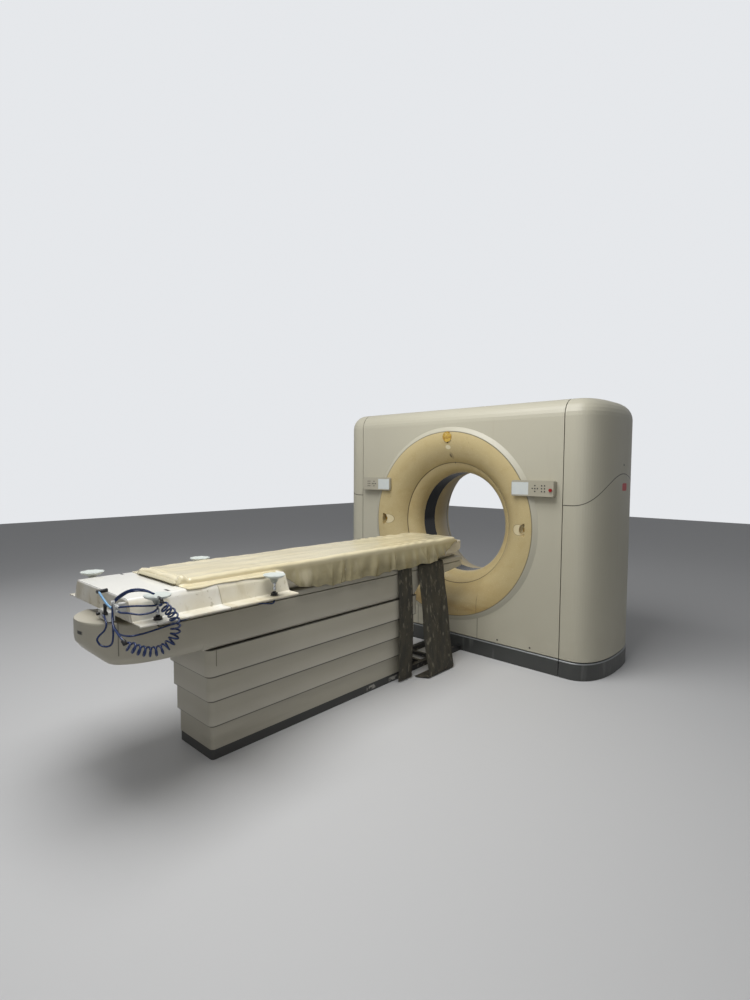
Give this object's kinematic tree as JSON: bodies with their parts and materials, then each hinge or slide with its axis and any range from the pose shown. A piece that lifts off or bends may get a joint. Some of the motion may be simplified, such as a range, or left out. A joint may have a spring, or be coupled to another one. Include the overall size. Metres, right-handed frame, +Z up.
{
  "type": "ct scanner",
  "caption": "Wide-bore computed tomography scanner: tilting ring gantry with an inner rotor, and a lifting couch with a sliding tabletop, vinyl cover and foot-end tray.",
  "frame": {"origin": "on the floor below the middle of the gantry, halfway between its front and rear covers", "axes": "+X to the gantry's right as seen from the couch, +Y from the couch through the bore, +Z up"},
  "size_m": [2.5, 3.742, 2],
  "materials": {
    "cover_ivory": "satin",
    "ring_tan": "satin, yellowed",
    "plinth_slate": "satin",
    "window_black": "smooth",
    "frame_grey": "satin",
    "machined_steel": "machined",
    "slip_copper": "polished tracks",
    "belt_black": "matte",
    "panel_ivory": "satin",
    "screen_pale": "glossy",
    "key_dark": "matte",
    "stop_red": "glossy",
    "lens_amber": "glossy",
    "couch_black": "satin",
    "couch_greige": "satin",
    "strap_cloth": "woven, mottled",
    "tabletop_cream": "satin",
    "foam": "covered foam",
    "vinyl_cream": "glossy vinyl",
    "tray_white": "satin",
    "pad_grey": "satin",
    "block_white": "satin",
    "hose_navy": "smooth"
  },
  "bodies": {
    "base": {"gantry_base_frame": "frame_grey", "tilt_gearbox": "machined_steel", "front_plinth": "plinth_slate", "rear_skirt": "plinth_slate", "plinth_left": "plinth_slate", "plinth_right": "plinth_slate", "side_cover_left_lower": "cover_ivory", "side_cover_left_upper": "cover_ivory", "side_cover_right_lower": "cover_ivory", "side_cover_right_upper": "cover_ivory", "side_liners": "cover_ivory", "couch_base_frame": "couch_black", "couch_plinth": "couch_black", "shroud_4": "couch_greige", "lift_column_outer": "machined_steel"},
    "tilting_gantry": {"front_cover": "cover_ivory", "lower_front_panel": "cover_ivory", "front_ring": "ring_tan", "front_ring_lower": "ring_tan", "front_bore_liner": "ring_tan", "scan_window": "window_black", "rear_bore_liner": "ring_tan", "rear_ring": "ring_tan", "rear_cover": "cover_ivory", "tilt_frame": "frame_grey", "bearing_outer_race": "machined_steel", "brush_block": "frame_grey", "control_panel_left": "panel_ivory", "control_panel_right": "panel_ivory", "panel_screens": "screen_pale", "panel_keys": "key_dark", "laser_windows": "lens_amber", "drive_motor": "machined_steel", "drive_belt": "belt_black"},
    "rotor": {"rotor_drum": "machined_steel", "bearing_inner_race": "machined_steel", "xray_tube": "machined_steel", "beam_collimator": "frame_grey", "detector_arc": "frame_grey", "hv_generator": "frame_grey", "tube_cooler": "frame_grey", "slip_ring": "slip_copper"},
    "motor_pulley": {"motor_pulley": "machined_steel"},
    "stop_button": {"stop_button": "stop_red"},
    "shroud_3": {"shroud_3": "couch_greige"},
    "shroud_2": {"shroud_2": "couch_greige"},
    "lift_middle": {"lift_column_middle": "machined_steel"},
    "couch_top": {"shroud_1": "couch_greige", "couch_housing": "couch_greige", "couch_deck": "couch_greige", "lift_column_inner": "machined_steel", "straps": "strap_cloth"},
    "tabletop": {"pallet": "tabletop_cream", "mattress": "foam", "vinyl_cover": "vinyl_cream", "adapter_tray": "tray_white", "tray_pads": "pad_grey", "hose_manifold": "block_white", "hose_coil": "hose_navy", "hose_runs": "hose_navy"}
  },
  "joints": [
    {"name": "gantry_tilt", "type": "hinge", "parent": "base", "child": "tilting_gantry", "pos_m": [0, -0.11, 1.038], "axis": [-1, 0, 0], "range_deg": [-30, 20]},
    {"name": "rotor_spin", "type": "hinge", "parent": "tilting_gantry", "child": "rotor", "pos_m": [0, 0.07, 1.038], "axis": [0, 1, 0], "continuous": true},
    {"name": "pulley_spin", "type": "hinge", "parent": "tilting_gantry", "child": "motor_pulley", "pos_m": [-0.79916, -0.045, 0.39775], "axis": [0, 1, 0], "continuous": true},
    {"name": "stop_press", "type": "slide", "parent": "tilting_gantry", "child": "stop_button", "axis": [0, 1, 0], "range_m": [0, 0.004], "stiffness_N_per_m": 1500, "springref_m": -0.002},
    {"name": "couch_lift", "type": "slide", "parent": "base", "child": "couch_top", "axis": [0, 0, 1], "range_m": [-0.33, 0], "deforming": ["straps"]},
    {"name": "shroud_2_lift", "type": "slide", "parent": "base", "child": "shroud_2", "axis": [0, 0, 1], "range_m": [-0.221, 0.001]},
    {"name": "shroud_3_lift", "type": "slide", "parent": "base", "child": "shroud_3", "axis": [0, 0, 1], "range_m": [-0.111, 0.001]},
    {"name": "column_lift", "type": "slide", "parent": "base", "child": "lift_middle", "axis": [0, 0, 1], "range_m": [-0.166, 0.001]},
    {"name": "tabletop_slide", "type": "slide", "parent": "couch_top", "child": "tabletop", "axis": [0, 1, 0], "range_m": [0, 1.6]}
  ],
  "couplings": [
    {"joint": "pulley_spin", "follows": "rotor_spin", "ratio": 19.111},
    {"joint": "shroud_2_lift", "follows": "couch_lift", "ratio": 0.6667},
    {"joint": "shroud_3_lift", "follows": "couch_lift", "ratio": 0.3333},
    {"joint": "column_lift", "follows": "couch_lift", "ratio": 0.5}
  ]
}
